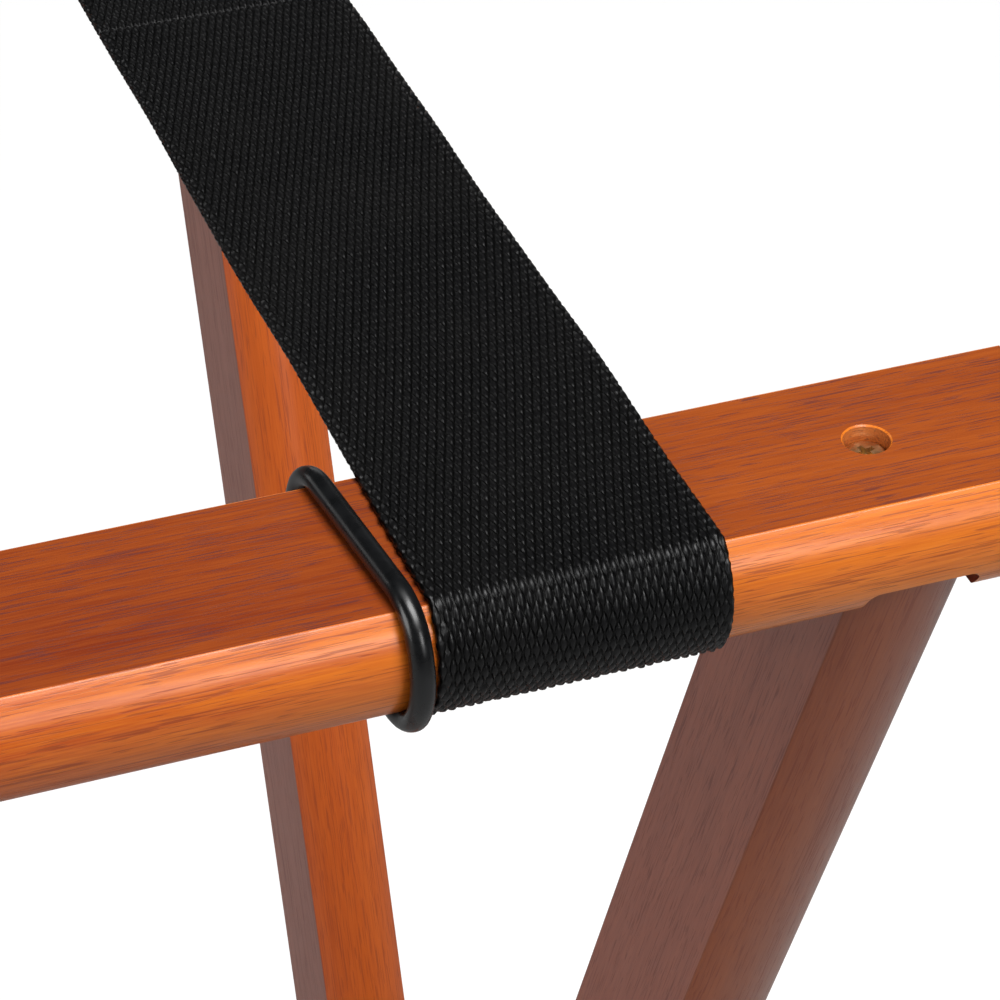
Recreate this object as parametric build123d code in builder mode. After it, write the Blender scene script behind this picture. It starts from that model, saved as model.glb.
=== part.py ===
from build123d import *
import os
from math import asin, cos, degrees, radians, sin, sqrt, tan

# Folding luggage rack: two wooden frames crossed like an X and pinned at the crossing, with
# webbing straps from rail to rail that stop them opening.
# X runs along the rails, Y across them, Z up. The origin is on the floor under the pivot.
# The outer frame has its rail at -Y and the wider pair of legs, the inner frame its rail at +Y.

# Driving dimensions, in millimetres and degrees
rack_height = 813.0        # floor to the rails' flat tops
pivot_height = 393.6       # floor to the fold's pivot
leg_angle = 21.6           # each leg from upright when the rack stands open

rail_length = 480.0
rail_flat = 33.9           # width of a rail's flat top
rail_thick = 19.0
rail_bulge = 4.2           # how far a rail's long edges swell past the flat
rail_overhang = 20.0       # rail end past the outer leg's outer face
rail_end_radius = 5.0      # corners of a rail in plan
rail_offset = 3.6          # rail centre outside the leg's centre line, at the rail's underside

leg_thick = 19.0
leg_flat = 31.5            # width of a leg's flat side
leg_bulge = 4.0
leg_gap = 1.2              # between an outer leg and the inner leg beside it
arris_radius = 0.7         # eased arrises on every bar

dado_depth = 4.5           # the leg's top is let this far into the rail's underside
dado_corner = 2.0
joint_gap = 0.05           # glue line and drilled-hole clearance, each side

stretcher_height = 125.0   # floor to a stretcher's centre line
stretcher_flat = 28.0
stretcher_thick = 16.0
stretcher_bulge = 3.5

screw_shank = 4.0
screw_head = 7.0
screw_head_thick = 2.6
screw_length = 38.0        # under the head
head_crown = 0.45          # share of a screw head's thickness that is rounded over
screw_sink = 6.0           # depth of the counterbore
counterbore = 7.6          # its diameter
rail_screw_inset = 2.0     # rail screw inboard of its leg's middle
recess_width = 1.1         # arms of the cross recess
recess_length = 4.0
recess_depth = 1.4

dowel_diameter = 6.0
dowel_in_leg = 10.0
dowel_in_stretcher = 14.0
fixing_spacing = 18.0      # screw to dowel at a stretcher's end

sleeve_diameter = 8.0
sleeve_setback = 3.3       # sleeve's end short of the outer leg's outer face
sleeve_thread_depth = 17.0
sleeve_flange = 14.0
sleeve_flange_thick = 1.8
running_gap = 0.05         # radial clearance of the pivot
pivot_screw_diameter = 6.0
pivot_screw_length = 15.0
pivot_head = 14.0
pivot_head_thick = 2.2
pivot_washer_diameter = 24.0
side_play = 0.1            # each side of the pivot washer and under the sleeve's flange

strap_width = 47.0
strap_thick = 1.5
strap_gap = 0.05           # webbing to wood
strap_to_leg = 4.0         # inner leg's inner face to the outer strap's edge
strap_end_reach = 9.0      # strap's stapled end past the middle of the rail's underside
strap_hinge_reach = 3.0    # how far past the rail's inner arris a strap starts to bend

staple_crown = 11.0
staple_wire = 1.0
staple_leg = 8.0
staple_spacing = 22.0
staple_gap = 0.05

ring_section = 4.4
ring_gap = 0.1             # rubber to wood
ring_to_strap = 6.3        # ring's centre plane to the outer strap's inner edge

# Places worked out from them
outer_leg_x = rail_length / 2 - rail_overhang - leg_thick / 2
inner_leg_x = outer_leg_x - leg_thick - leg_gap
rail_bottom = rack_height - rail_thick
rail_middle = rack_height - rail_thick / 2
rail_y = (rail_bottom - pivot_height) * tan(radians(leg_angle)) + rail_offset
outer_strap_x = inner_leg_x - leg_thick / 2 - strap_to_leg - strap_width / 2
ring_x = outer_strap_x - strap_width / 2 - ring_to_strap
strap_hinge_y = rail_y - rail_flat / 2 - strap_hinge_reach
strap_middle_z = rack_height + strap_gap + strap_thick / 2
stretcher_drop = (pivot_height - stretcher_height) / cos(radians(leg_angle))
sleeve_length = 2 * leg_thick + leg_gap + side_play - sleeve_setback
leg_x = {"outer": outer_leg_x, "inner": inner_leg_x}
toward = {"outer": -1, "inner": 1}
hands = {"left": -1, "right": 1}


def bar_section(flat, thick, bulge):
    """Bar with two flat faces and two edges swelling in an arc, along local X, arrises eased."""
    with BuildSketch() as section:
        with BuildLine():
            Line((-flat / 2, thick / 2), (flat / 2, thick / 2))
            ThreePointArc((flat / 2, thick / 2), (flat / 2 + bulge, 0), (flat / 2, -thick / 2))
            Line((flat / 2, -thick / 2), (-flat / 2, -thick / 2))
            ThreePointArc((-flat / 2, -thick / 2), (-flat / 2 - bulge, 0), (-flat / 2, thick / 2))
        make_face()
        fillet(section.vertices(), radius=arris_radius)
    return section.sketch


def leg_end(width, top, corner):
    """Outline in X and Z of a leg, or of the dado that takes it: square foot, rounded top corners."""
    with BuildSketch() as outline:
        Rectangle(width, top, align=(Align.CENTER, Align.MIN))
        fillet(outline.vertices().group_by(Axis.Y)[-1], radius=corner)
    return outline.sketch


def leg_plane(frame, x, along=0.0):
    """Section plane of a leg: local X across its width, Z up along it, from the pivot."""
    lean = toward[frame] * sin(radians(leg_angle))
    rise = cos(radians(leg_angle))
    origin = (x, lean * along, pivot_height + rise * along)
    return Plane(origin=origin, x_dir=(0, rise, -lean), z_dir=(0, lean, rise))


def cross_recess(head_top):
    """Outline of the cross-shaped driver recess, on the plane of the head's top."""
    with BuildSketch(head_top) as recess:
        Rectangle(recess_length, recess_width)
        Rectangle(recess_width, recess_length)
    return recess.sketch


def save(piece, name):
    piece.part.label = name
    export_step(piece.part, f"parts/{name}.step")


def rail_plane(frame, x=0.0):
    """Section plane of a rail at its centre line: local X points at the other rail, local Y up."""
    inward = -toward[frame]
    origin = (x, toward[frame] * rail_y, rail_middle)
    return Plane(origin=origin, x_dir=(0, inward, 0), z_dir=(inward, 0, 0))


os.makedirs("parts", exist_ok=True)

# Rails: bars with a flat top, dadoed underneath for the legs and drilled for the screws
rail_section = bar_section(rail_flat, rail_thick, rail_bulge)
dado = leg_end(leg_thick + 2 * joint_gap, rail_bottom + dado_depth, dado_corner)
staple_reach = staple_leg - strap_thick - strap_gap
strap_x = (-outer_strap_x, 0.0, outer_strap_x)
staple_x = [x + side * staple_spacing / 2 for x in strap_x for side in (-1, 1)]
staple_leg_x = [x + side * (staple_crown - staple_wire) / 2 for x in staple_x for side in (-1, 1)]
staple_hole = staple_wire + 2 * staple_gap

for frame, side in toward.items():
    with BuildPart() as rail:
        with BuildSketch(rail_plane(frame)):
            add(rail_section)
        extrude(amount=rail_length / 2, both=True)
        with BuildSketch(Plane.XY.offset(rail_bottom)):
            with Locations((0, side * rail_y)):
                RectangleRounded(rail_length, rail_flat + 2 * rail_bulge, rail_end_radius)
        extrude(amount=rail_thick, mode=Mode.INTERSECT)
        for leg_side in hands.values():
            with BuildSketch(Plane.XZ.offset(-side * rail_y)):
                with Locations((leg_side * leg_x[frame], 0)):
                    add(dado)
            extrude(amount=rail_flat, both=True, mode=Mode.SUBTRACT)
        for leg_side in hands.values():
            screw_x = leg_side * (leg_x[frame] - rail_screw_inset)
            with Locations((screw_x, side * rail_y, rack_height)):
                CounterBoreHole(
                    screw_shank / 2 + joint_gap, counterbore / 2, screw_sink, depth=rail_thick
                )
        with BuildSketch(Plane.XY.offset(rail_bottom)):
            with Locations(*[(x, side * rail_y) for x in staple_leg_x]):
                Rectangle(staple_hole, staple_hole)
        extrude(amount=staple_reach + staple_gap, mode=Mode.SUBTRACT)
    save(rail, f"{frame}_rail")

# Legs: tilted bars cut level at the floor, let into the rail, bored for pivot and stretcher
leg_section = bar_section(leg_flat, leg_thick, leg_bulge)
leg_outline = leg_end(leg_thick, rail_bottom + dado_depth - joint_gap, dado_corner)

for frame, side in toward.items():
    for hand, hand_sign in hands.items():
        x = hand_sign * leg_x[frame]
        outward = (hand_sign, 0, 0)
        screw_at = leg_plane(frame, x, -stretcher_drop + fixing_spacing / 2).origin
        dowel_at = leg_plane(frame, x, -stretcher_drop - fixing_spacing / 2).origin
        half = hand_sign * leg_thick / 2
        with BuildPart() as leg:
            with BuildSketch(leg_plane(frame, x)):
                add(leg_section)
            extrude(amount=rack_height, both=True)
            with BuildSketch(Plane.XZ):
                with Locations((x, 0)):
                    add(leg_outline)
            extrude(amount=rack_height, both=True, mode=Mode.INTERSECT)
            with Locations(Plane(origin=(x + half, 0, pivot_height), z_dir=outward)):
                Hole(sleeve_diameter / 2 + running_gap, depth=leg_thick)
            with Locations(Plane(origin=screw_at + Vector(half, 0, 0), z_dir=outward)):
                CounterBoreHole(
                    screw_shank / 2 + joint_gap, counterbore / 2, screw_sink, depth=leg_thick
                )
            with Locations(Plane(origin=dowel_at - Vector(half, 0, 0), z_dir=(-hand_sign, 0, 0))):
                Hole(dowel_diameter / 2 + joint_gap, depth=dowel_in_leg + joint_gap)
            with Locations((x - hand_sign * rail_screw_inset, side * rail_y, rack_height)):
                Hole(screw_shank / 2 + joint_gap, depth=screw_sink + screw_length + joint_gap)
        save(leg, f"{frame}_leg_{hand}")

# Stretchers: cross bars near the floor, butted between the two legs of a frame
stretcher_section = bar_section(stretcher_flat, stretcher_thick, stretcher_bulge)

for frame in toward:
    length = 2 * leg_x[frame] - leg_thick
    low = leg_plane(frame, 0, -stretcher_drop)
    screw_at = leg_plane(frame, 0, -stretcher_drop + fixing_spacing / 2).origin
    dowel_at = leg_plane(frame, 0, -stretcher_drop - fixing_spacing / 2).origin
    screw_bite = screw_length + screw_sink - leg_thick
    with BuildPart() as stretcher:
        with BuildSketch(Plane(origin=low.origin, x_dir=low.z_dir, z_dir=(1, 0, 0))):
            add(stretcher_section)
        extrude(amount=length / 2, both=True)
        for hand_sign in hands.values():
            end = Vector(hand_sign * length / 2, 0, 0)
            with Locations(Plane(origin=screw_at + end, z_dir=(hand_sign, 0, 0))):
                Hole(screw_shank / 2 + joint_gap, depth=screw_bite + joint_gap)
            with Locations(Plane(origin=dowel_at + end, z_dir=(hand_sign, 0, 0))):
                Hole(dowel_diameter / 2 + joint_gap, depth=dowel_in_stretcher + joint_gap)
    save(stretcher, f"{frame}_stretcher")


def draw_screw(seat, up, diameter, length, head, head_thick):
    """A pan-head screw standing on its seat, with a cross recess, made in the active part."""
    base = Plane(origin=seat, z_dir=up)
    with BuildPart() as screw:
        with BuildSketch(base):
            Circle(diameter / 2)
        extrude(amount=-length)
        with BuildSketch(base):
            Circle(head / 2)
        extrude(amount=head_thick)
        crown = screw.faces().sort_by(Axis(base.origin, base.z_dir))[-1]
        fillet(crown.edges(), radius=head_thick * head_crown)
        extrude(cross_recess(base.offset(head_thick)), amount=-recess_depth, mode=Mode.SUBTRACT)
    return screw.part


# Wood screws: down through each rail into a leg, and through each leg into a stretcher
for frame, side in toward.items():
    with BuildPart() as rail_screws:
        for hand_sign in hands.values():
            x = hand_sign * (leg_x[frame] - rail_screw_inset)
            seat = (x, side * rail_y, rack_height - screw_sink)
            add(draw_screw(seat, (0, 0, 1), screw_shank, screw_length, screw_head, screw_head_thick))
    save(rail_screws, f"{frame}_rail_screws")

    with BuildPart() as stretcher_screws:
        for hand_sign in hands.values():
            reach = hand_sign * (leg_x[frame] + leg_thick / 2 - screw_sink)
            seat = leg_plane(frame, reach, -stretcher_drop + fixing_spacing / 2).origin
            out = (hand_sign, 0, 0)
            add(draw_screw(seat, out, screw_shank, screw_length, screw_head, screw_head_thick))
    save(stretcher_screws, f"{frame}_stretcher_screws")

    with BuildPart() as dowels:
        for hand_sign in hands.values():
            face = hand_sign * (leg_x[frame] - leg_thick / 2)
            joint = leg_plane(frame, face, -stretcher_drop - fixing_spacing / 2).origin
            with BuildSketch(Plane(origin=joint, z_dir=(hand_sign, 0, 0))):
                Circle(dowel_diameter / 2)
            extrude(amount=dowel_in_leg)
            with BuildSketch(Plane(origin=joint, z_dir=(-hand_sign, 0, 0))):
                Circle(dowel_diameter / 2)
            extrude(amount=dowel_in_stretcher)
    save(dowels, f"{frame}_stretcher_dowels")

# Pivot: a flanged sleeve nut through both legs, closed by a screw from outside, washer between
sleeve_face = inner_leg_x - leg_thick / 2 - side_play
screw_face = outer_leg_x + leg_thick / 2

with BuildPart() as sleeves:
    for hand_sign in hands.values():
        base = Plane(origin=(hand_sign * sleeve_face, 0, pivot_height), z_dir=(hand_sign, 0, 0))
        with BuildSketch(base):
            Circle(sleeve_diameter / 2)
        extrude(amount=sleeve_length)
        with BuildSketch(base):
            Circle(sleeve_flange / 2)
        extrude(amount=-sleeve_flange_thick)
        with BuildSketch(base.offset(sleeve_length)):
            Circle(pivot_screw_diameter / 2 + joint_gap)
        extrude(amount=-sleeve_thread_depth, mode=Mode.SUBTRACT)
save(sleeves, "pivot_sleeves")

with BuildPart() as pivot_screws:
    for hand_sign in hands.values():
        seat = (hand_sign * screw_face, 0, pivot_height)
        out = (hand_sign, 0, 0)
        size = (pivot_screw_diameter, pivot_screw_length, pivot_head, pivot_head_thick)
        add(draw_screw(seat, out, *size))
save(pivot_screws, "pivot_screws")

with BuildPart() as washers:
    for hand_sign in hands.values():
        start = hand_sign * (outer_leg_x - leg_thick / 2)
        with BuildSketch(Plane(origin=(start, 0, pivot_height), z_dir=(-hand_sign, 0, 0))):
            Circle(pivot_washer_diameter / 2)
            Circle(sleeve_diameter / 2 + running_gap, mode=Mode.SUBTRACT)
        extrude(amount=leg_gap - side_play)
save(washers, "pivot_washers")

# Straps: each is stapled under one rail, wraps it, crosses to the other and wraps that.
# The wrap follows the rail's section outside, the two spans meet halfway.
wrap_inner = offset(rail_section, amount=strap_gap, kind=Kind.ARC)
wrap_outer = offset(rail_section, amount=strap_gap + strap_thick, kind=Kind.ARC)
strap_places = dict(zip(("left", "middle", "right"), strap_x))
hinge_reach = rail_flat / 2 + strap_hinge_reach
open_side = 1.5 * rail_thick + strap_gap   # underside and inner edge, which the strap leaves bare

for frame, side in toward.items():
    for place, x in strap_places.items():
        with BuildPart() as wrap:
            with BuildSketch(rail_plane(frame, x)):
                add(wrap_outer)
                add(wrap_inner, mode=Mode.SUBTRACT)
                with Locations((strap_end_reach, -rail_thick)):
                    Rectangle(rail_flat, open_side, align=(Align.MIN, Align.MIN), mode=Mode.SUBTRACT)
                with Locations((rail_flat / 2 - arris_radius, rail_thick / 2)):
                    Rectangle(rail_flat, rail_thick, align=(Align.MIN, Align.MIN), mode=Mode.SUBTRACT)
                with Locations((0, rail_thick / 2 + strap_gap)):
                    Rectangle(hinge_reach, strap_thick, align=(Align.MIN, Align.MIN))
            extrude(amount=strap_width / 2, both=True)
            with BuildSketch(Plane.XY.offset(rail_bottom - strap_gap - strap_thick)):
                own = [u for u in staple_leg_x if abs(u - x) < strap_width / 2]
                with Locations(*[(u, side * rail_y) for u in own]):
                    Rectangle(staple_hole, staple_hole)
            extrude(amount=strap_thick + strap_gap, mode=Mode.SUBTRACT)
        save(wrap, f"strap_{place}_{frame}_wrap")

        with BuildPart() as span:
            with BuildSketch(Plane.XY.offset(rack_height + strap_gap)):
                with Locations((x, side * strap_hinge_y / 2)):
                    Rectangle(strap_width, strap_hinge_y)
            extrude(amount=strap_thick)
        save(span, f"strap_{place}_{frame}_span")

# Staples: two through each end of a strap into the rail's underside
crown_z = rail_bottom - strap_gap - strap_thick - staple_gap - staple_wire
for frame, side in toward.items():
    with BuildPart() as staples:
        with BuildSketch(Plane.XY.offset(crown_z)):
            with Locations(*[(x, side * rail_y) for x in staple_x]):
                Rectangle(staple_crown, staple_wire)
        extrude(amount=staple_wire)
        with BuildSketch(Plane.XY.offset(crown_z)):
            with Locations(*[(x, side * rail_y) for x in staple_leg_x]):
                Rectangle(staple_wire, staple_wire)
        extrude(amount=staple_leg + staple_wire + staple_gap)
    save(staples, f"{frame}_strap_staples")

# Rings: rubber bands of round section round each rail beside the outer straps. They are the
# buffers that meet when the rack is folded.
ring_path = offset(rail_section, amount=ring_gap + ring_section / 2, kind=Kind.ARC)

for frame in toward:
    for hand, hand_sign in hands.items():
        with BuildPart() as ring:
            path = rail_plane(frame, hand_sign * ring_x) * ring_path.face().outer_wire()
            with BuildSketch(Plane(origin=path @ 0, z_dir=path % 0)):
                Circle(ring_section / 2)
            sweep(path=path)
        save(ring, f"{frame}_ring_{hand}")

# How far the frames fold, from their rails' edges: the rings meet in the rack's middle plane
edge_radius = (rail_thick**2 / 4 + rail_bulge**2) / (2 * rail_bulge)
arm_y = rail_y - rail_flat / 2 - rail_bulge + edge_radius
arm_z = rail_middle - pivot_height
arm = sqrt(arm_y**2 + arm_z**2)
buffer = edge_radius + ring_gap + ring_section
half_fold = degrees(asin(arm_y / arm) - asin(buffer / arm))
hinge_arm = sqrt(strap_hinge_y**2 + (strap_middle_z - pivot_height) ** 2)
hinge_lean = degrees(asin(strap_hinge_y / hinge_arm))
print(f"rails meet ring to ring at {2 * half_fold:.2f} deg of fold")
print(f"pivot z {pivot_height}, strap hinge y {strap_hinge_y:.3f} z {strap_middle_z:.3f}")
print(f"strap hinge lean {hinge_lean:.3f} deg")
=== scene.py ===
from math import asin, cos, pi, radians, sin, sqrt

import bmesh
import bpy
import numpy as np
from mathutils import Matrix, Vector


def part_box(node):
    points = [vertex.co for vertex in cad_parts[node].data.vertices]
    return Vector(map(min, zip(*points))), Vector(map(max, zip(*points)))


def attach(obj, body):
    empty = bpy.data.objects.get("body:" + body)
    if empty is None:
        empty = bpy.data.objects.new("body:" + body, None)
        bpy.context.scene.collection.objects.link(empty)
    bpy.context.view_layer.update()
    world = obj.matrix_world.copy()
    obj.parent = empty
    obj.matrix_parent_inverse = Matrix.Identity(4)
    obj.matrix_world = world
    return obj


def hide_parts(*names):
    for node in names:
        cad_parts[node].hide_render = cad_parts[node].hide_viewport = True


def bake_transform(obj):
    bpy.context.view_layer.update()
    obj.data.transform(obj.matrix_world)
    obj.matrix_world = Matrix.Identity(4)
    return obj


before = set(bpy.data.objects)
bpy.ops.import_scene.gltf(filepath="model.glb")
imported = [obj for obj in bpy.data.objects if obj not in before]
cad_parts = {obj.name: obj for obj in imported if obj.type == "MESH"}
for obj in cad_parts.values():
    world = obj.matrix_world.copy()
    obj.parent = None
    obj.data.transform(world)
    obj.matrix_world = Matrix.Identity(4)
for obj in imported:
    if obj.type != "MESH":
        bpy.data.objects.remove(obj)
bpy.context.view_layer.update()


# Top rails. Each is a bar of stained, lacquered hardwood with flat faces and both long edges
# moulded to a low swell. A dado across the underside takes each leg, a counterbored screw
# comes down over it, the corners are rounded in plan and every arris is eased.
mm = 0.001
arris = 0.7 * mm
rail_flat = 33.9 * mm
rail_bulge = 4.2 * mm
rail_corner = 5 * mm
rail_end_ease = 0.5 * mm
dado_width = 19.1 * mm
dado_depth = 4.5 * mm
dado_corner = 2 * mm
screw_radius = 3.5 * mm
counterbore_radius = 3.8 * mm
counterbore_depth = 6 * mm
pilot_radius = 2.05 * mm
bore_rim = 0.25 * mm
bore_margin = 0.1 * mm
spare_length = 4 * mm
overrun = 5 * mm
weld = 1e-7
rail_low, rail_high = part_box("outer_rail")
rail_thick = rail_high.z - rail_low.z
rail_length = rail_high.x - rail_low.x


def srgb(red, green, blue):
    """A colour as a screen shows it, 0 to 255, as the linear colour that a shader takes."""
    parts = [channel / 255 for channel in (red, green, blue)]
    return (*[c / 12.92 if c < 0.04045 else ((c + 0.055) / 1.055) ** 2.4 for c in parts], 1)


def swell_shape(flat, thick, bulge, ease=arris):
    """How a moulded bar's section turns: the swell's centre, the arris's centre, half the swell."""
    radius = (thick**2 / 4 + bulge**2) / (2 * bulge)
    heart = flat / 2 + bulge - radius
    rise = thick / 2 - ease
    reach = heart + sqrt((radius - ease) ** 2 - rise**2)
    return heart, reach, rise, asin(rise / (radius - ease))


def trace_section(bm, ends, flat, thick, bulge, ease=arris, swell_steps=20, arris_steps=5):
    """Carries ends once round a moulded bar's section in the YZ plane, and closes the loop."""
    heart, reach, rise, half_swell = swell_shape(flat, thick, bulge, ease)
    turn = pi / 2 - half_swell
    stops = (
        (reach, rise, turn, arris_steps),
        (heart, 0, 2 * half_swell, swell_steps),
        (reach, -rise, turn, arris_steps),
    )
    for side in (1, -1):
        for across, up, angle, steps in stops:
            centre = (0, side * across, side * up)
            arc = bmesh.ops.spin(
                bm, geom=ends, cent=centre, axis=(1, 0, 0), angle=-angle, steps=steps
            )
            ends = arc["geom_last"]
        slide = (0, -2 * side * reach, 0)
        run = bmesh.ops.spin(
            bm, geom=ends, cent=(0, 0, 0), axis=(1, 0, 0), dvec=slide, angle=0, steps=1
        )
        ends = run["geom_last"]
    bmesh.ops.remove_doubles(bm, verts=bm.verts[:], dist=arris / 50)


def bar(flat, thick, bulge, length, place):
    """A moulded bar as a mesh: its section carried along X, then turned into its place."""
    bm = bmesh.new()
    reach = swell_shape(flat, thick, bulge)[1]
    start = bm.verts.new((-length / 2, reach, thick / 2))
    trace_section(bm, [start], flat, thick, bulge)
    section = bmesh.ops.contextual_create(bm, geom=bm.edges[:])["faces"]
    carried = bmesh.ops.extrude_face_region(bm, geom=section)["geom"]
    far_end = [part for part in carried if isinstance(part, bmesh.types.BMVert)]
    bmesh.ops.translate(bm, vec=(length, 0, 0), verts=far_end)
    bmesh.ops.transform(bm, matrix=place, verts=bm.verts[:])
    return as_mesh(bm)


def as_mesh(bm):
    """Ends a bmesh: faces outward, and the mesh it makes."""
    bmesh.ops.recalc_face_normals(bm, faces=bm.faces[:])
    mesh = bpy.data.meshes.new("wrought")
    bm.to_mesh(mesh)
    bm.free()
    return mesh


def round_edges(bm, edges, amount, segments, clamped=False):
    """Rounds or eases some edges, all by the same amount."""
    bmesh.ops.bevel(
        bm,
        geom=edges,
        offset=amount,
        offset_type="OFFSET",
        segments=segments,
        profile=0.5,
        affect="EDGES",
        material=-1,
        clamp_overlap=clamped,
    )


def add_block(bm, low, high, rounding=0, rounded_axis=2, upper_only=False):
    """Adds a box whose edges along one axis are rounded, as a saw or router leaves its work."""
    middle = (Vector(low) + Vector(high)) / 2
    size = Vector(high) - Vector(low)
    place = Matrix.Translation(middle) @ Matrix.Diagonal((*size, 1))
    made = set(bmesh.ops.create_cube(bm, size=1, matrix=place)["verts"])
    chosen = []
    for edge in [edge for edge in bm.edges if edge.verts[0] in made]:
        run = edge.verts[0].co - edge.verts[1].co
        lifted = (edge.verts[0].co + edge.verts[1].co).z / 2 > middle.z
        if abs(run[rounded_axis]) > size[rounded_axis] / 2 and (lifted or not upper_only):
            chosen.append(edge)
    if rounding:
        round_edges(bm, chosen, rounding, 8)


def add_turned(bm, outline, place, steps=48):
    """Adds a solid turned about Z from (radius, height) corners, then put in its place."""
    known = set(bm.verts)
    corners = [bm.verts.new((radius, 0, height)) for radius, height in outline]
    edges = [bm.edges.new(pair) for pair in zip(corners, corners[1:])]
    bmesh.ops.spin(
        bm,
        geom=corners + edges,
        cent=(0, 0, 0),
        axis=(0, 0, 1),
        angle=2 * pi,
        steps=steps,
        use_merge=True,
    )
    turned = [vert for vert in bm.verts if vert not in known]
    bmesh.ops.remove_doubles(bm, verts=turned, dist=weld)
    turned = [vert for vert in bm.verts if vert not in known]
    bmesh.ops.transform(bm, matrix=place, verts=turned)


def facing(point, direction):
    """The place of a turned piece: its foot at point, its axis along direction."""
    turn = Vector(direction).to_track_quat("Z", "Y").to_matrix().to_4x4()
    return Matrix.Translation(point) @ turn


def cut(mesh, cutter, operation="DIFFERENCE"):
    """One mesh less another, or only what lies in it, as a router, saw or drill leaves it."""
    blank = bpy.data.objects.new("blank", mesh)
    tool = bpy.data.objects.new("tool", cutter)
    for one in (blank, tool):
        bpy.context.scene.collection.objects.link(one)
    work = blank.modifiers.new("work", "BOOLEAN")
    work.operation = operation
    work.solver = "EXACT"
    work.object = tool
    graph = bpy.context.evaluated_depsgraph_get()
    made = bpy.data.meshes.new_from_object(blank.evaluated_get(graph))
    for one in (blank, tool):
        bpy.data.objects.remove(one)
    return made


def counterbore(bm, mouth, inward, depth):
    """Adds the drill's path for a screw: wide down to the head's seat, narrow below it."""
    outline = (
        (0, depth),
        (pilot_radius, depth),
        (pilot_radius, counterbore_depth),
        (counterbore_radius, counterbore_depth),
        (counterbore_radius, bore_rim),
        (counterbore_radius + 2 * bore_rim, -bore_rim),
        (0, -bore_rim),
    )
    add_turned(bm, outline, facing(mouth, inward))


def ease_ends(bm, axis, amount):
    """Eases the arrises round the faces that look along the bar."""
    ends = {face for face in bm.faces if abs(face.normal.dot(axis)) > 0.999}
    rims = [edge for edge in bm.edges if ends.intersection(edge.link_faces)]
    rims = [edge for edge in rims if abs(edge.calc_face_angle(0)) > 0.5]
    round_edges(bm, rims, amount, 3, clamped=True)


def sort_grain(mesh, axis, flat_normal, holes):
    """Gives each face its material: 0 flat face, 1 moulded edge, 2 end grain, 3 bored hole; the flat
    faces' and moulded edges' colours carry painted light and shade.
    """
    for polygon in mesh.polygons:
        normal = polygon.normal
        at = polygon.center
        if any(near_line(at, *hole) for hole in holes):
            polygon.material_index = 3
        elif abs(normal.dot(axis)) > 0.9:
            polygon.material_index = 2
        elif abs(normal.dot(flat_normal)) > 0.985:
            polygon.material_index = 0
        else:
            polygon.material_index = 1


def near_line(point, start, direction, radius):
    """True for a point within radius of a drilled hole's wall or floor, below its mouth."""
    away = Vector(point) - Vector(start)
    depth = away.dot(Vector(direction))
    return depth > 0.05 * mm and (away - depth * Vector(direction)).length < radius


def show(name, mesh, materials, smooth_below=32):
    """Puts a finished mesh in the scene as a piece, shaded smooth except at its arrises."""
    mesh.materials.clear()
    for material in materials:
        mesh.materials.append(material)
    mesh.name = name
    mesh.shade_smooth()
    mesh.set_sharp_from_angle(angle=radians(smooth_below))
    piece = bpy.data.objects.new(name, mesh)
    bpy.context.scene.collection.objects.link(piece)
    even = piece.modifiers.new("even_shading", "WEIGHTED_NORMAL")
    even.keep_sharp = True
    even.weight = 60
    return piece


def fill(tree, node, sockets):
    """Gives a node's input sockets their values, or links them to other nodes' outputs."""
    for name, value in sockets.items():
        if isinstance(value, bpy.types.NodeSocket):
            tree.links.new(value, node.inputs[name])
        else:
            node.inputs[name].default_value = value


def add(tree, kind, sockets=None, **settings):
    """Adds a shader node, sets it, and fills its input sockets."""
    made = tree.nodes.new("ShaderNode" + kind)
    for name, value in settings.items():
        setattr(made, name, value)
    fill(tree, made, sockets or {})
    return made


def mix_colour(tree, share, first, second, mode="MIX"):
    """Two colours mixed by a mask."""
    made = add(tree, "Mix", {0: share, 6: first, 7: second}, data_type="RGBA", blend_type=mode)
    return made.outputs[2]


def remap(tree, value, low, high, to_low=0.0, to_high=1.0):
    """A value stretched from one range to another, with soft ends."""
    sockets = {
        "Value": value,
        "From Min": low,
        "From Max": high,
        "To Min": to_low,
        "To Max": to_high,
    }
    return add(tree, "MapRange", sockets, interpolation_type="SMOOTHSTEP").outputs["Result"]


def calculate(tree, operation, first, second):
    """Two values added, multiplied and so on."""
    return add(tree, "Math", {0: first, 1: second}, operation=operation).outputs[0]


def drawn_noise(tree, place, stretch, detail, distortion=0.0):
    """Noise drawn out along one direction: stretch is how many spots a metre, each way."""
    scaled = add(tree, "VectorMath", {0: place, 1: stretch}, operation="MULTIPLY").outputs[0]
    sockets = {"Vector": scaled, "Scale": 1.0, "Detail": detail, "Distortion": distortion}
    return add(tree, "TexNoise", sockets).outputs[0]


def new_group(name, inputs, outputs):
    """A shader node group with its sockets, and the nodes for its two ends."""
    group = bpy.data.node_groups.new(name, "ShaderNodeTree")
    for way, sockets in (("INPUT", inputs), ("OUTPUT", outputs)):
        for label, kind in sockets.items():
            group.interface.new_socket(label, in_out=way, socket_type="NodeSocket" + kind)
    return group, group.nodes.new("NodeGroupInput"), group.nodes.new("NodeGroupOutput")


def new_material(name):
    """A material with only its shader, and that shader."""
    material = bpy.data.materials.new(name)
    material.use_nodes = True
    tree = material.node_tree
    tree.nodes.clear()
    shader = add(tree, "BsdfPrincipled")
    end = add(tree, "OutputMaterial", {"Surface": shader.outputs[0]})
    end.is_active_output = True
    return material, tree, shader


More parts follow.
